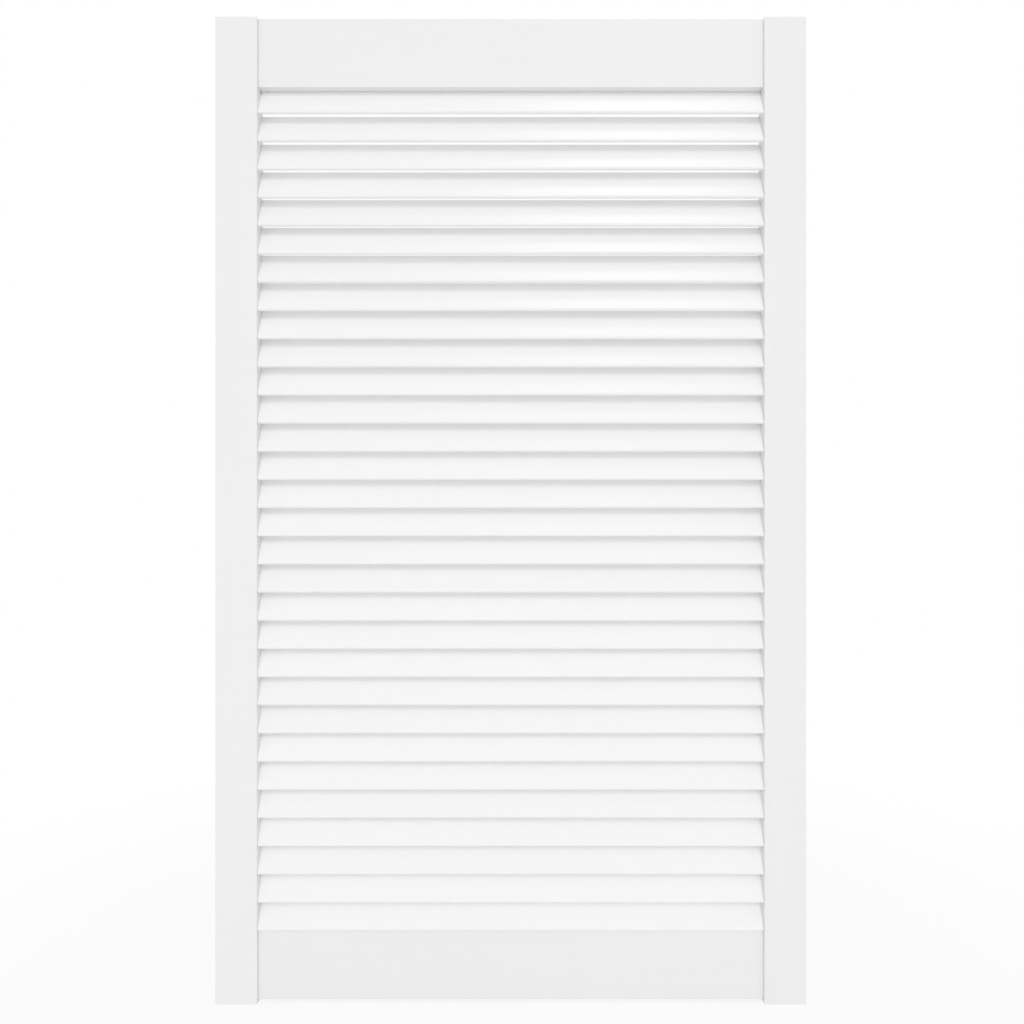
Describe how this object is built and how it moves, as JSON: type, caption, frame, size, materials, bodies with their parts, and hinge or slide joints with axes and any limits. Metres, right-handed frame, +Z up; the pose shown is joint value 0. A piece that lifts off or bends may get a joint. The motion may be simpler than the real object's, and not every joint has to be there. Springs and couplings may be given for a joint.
{
  "type": "louvred cabinet door",
  "caption": "Tall louvred cabinet door leaf: a white painted frame of stiles and set-back rails round a stack of fixed sloping slats that let air through and hide what is behind.",
  "frame": {"origin": "middle of the door's foot, half way through its thickness", "axes": "+Z up the stiles, +X to the right seen from the front, +Y through the thickness from front to back"},
  "size_m": [0.594, 0.021, 0.993],
  "materials": {
    "frame_paint": "softwood under satin white paint",
    "slat_paint": "softwood under satin white paint",
    "dowel_beech": "bare beech, sealed in the joints"
  },
  "bodies": {
    "root": {"stile_left": "frame_paint", "stile_right": "frame_paint", "rail_top": "frame_paint", "rail_bottom": "frame_paint", "slat_01": "slat_paint", "slat_02": "slat_paint", "slat_03": "slat_paint", "slat_04": "slat_paint", "slat_05": "slat_paint", "slat_06": "slat_paint", "slat_07": "slat_paint", "slat_08": "slat_paint", "slat_09": "slat_paint", "slat_10": "slat_paint", "slat_11": "slat_paint", "slat_12": "slat_paint", "slat_13": "slat_paint", "slat_14": "slat_paint", "slat_15": "slat_paint", "slat_16": "slat_paint", "slat_17": "slat_paint", "slat_18": "slat_paint", "slat_19": "slat_paint", "slat_20": "slat_paint", "slat_21": "slat_paint", "slat_22": "slat_paint", "slat_23": "slat_paint", "slat_24": "slat_paint", "slat_25": "slat_paint", "slat_26": "slat_paint", "slat_27": "slat_paint", "slat_28": "slat_paint", "slat_29": "slat_paint", "slat_30": "slat_paint", "dowel_top_left_lower": "dowel_beech", "dowel_top_left_upper": "dowel_beech", "dowel_top_right_lower": "dowel_beech", "dowel_top_right_upper": "dowel_beech", "dowel_bottom_left_lower": "dowel_beech", "dowel_bottom_left_upper": "dowel_beech", "dowel_bottom_right_lower": "dowel_beech", "dowel_bottom_right_upper": "dowel_beech"}
  },
  "joints": []
}
